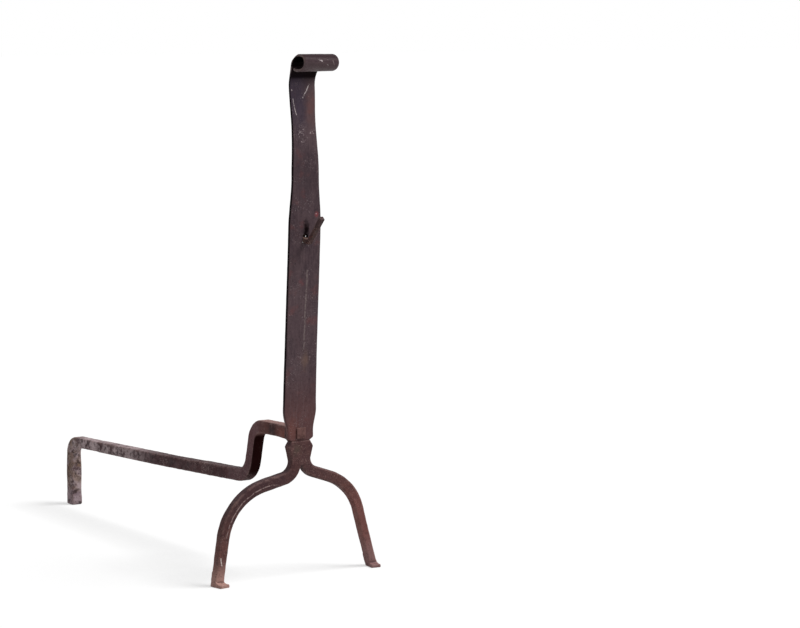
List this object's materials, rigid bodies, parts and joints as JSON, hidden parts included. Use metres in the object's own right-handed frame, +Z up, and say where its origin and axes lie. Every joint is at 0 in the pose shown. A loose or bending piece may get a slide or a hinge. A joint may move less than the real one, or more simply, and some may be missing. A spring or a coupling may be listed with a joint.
{
  "type": "andiron",
  "caption": "Forged iron andiron: flat upright with a rolled top, loose spit hook, arched forked legs, and a stepped log bar ending in a rear foot.",
  "frame": {"origin": "middle of the whole footprint, on the hearth", "axes": "+Z up, -Y towards the room where the upright stands, +Y back along the log bar into the fire, +X to the right as seen from the room"},
  "size_m": [0.1894, 0.5332, 0.5134],
  "materials": {
    "upright_iron": "dark scaled wrought iron, fine upright scratches",
    "leg_iron": "wrought iron with brown rust",
    "bar_iron": "wrought iron burnt pale and mottled with ash",
    "hook_iron": "dark scaled wrought iron"
  },
  "bodies": {
    "andiron": {"upright": "upright_iron", "leg_fork": "leg_iron", "log_bar": "bar_iron"},
    "hook": {"spit_hook": "hook_iron"}
  },
  "joints": [
    {"name": "hook_lift", "type": "hinge", "parent": "andiron", "child": "hook", "pos_m": [-0.00018, -0.23184, 0.3353], "axis": [-1, 0, 0], "range_deg": [0, 44]}
  ]
}
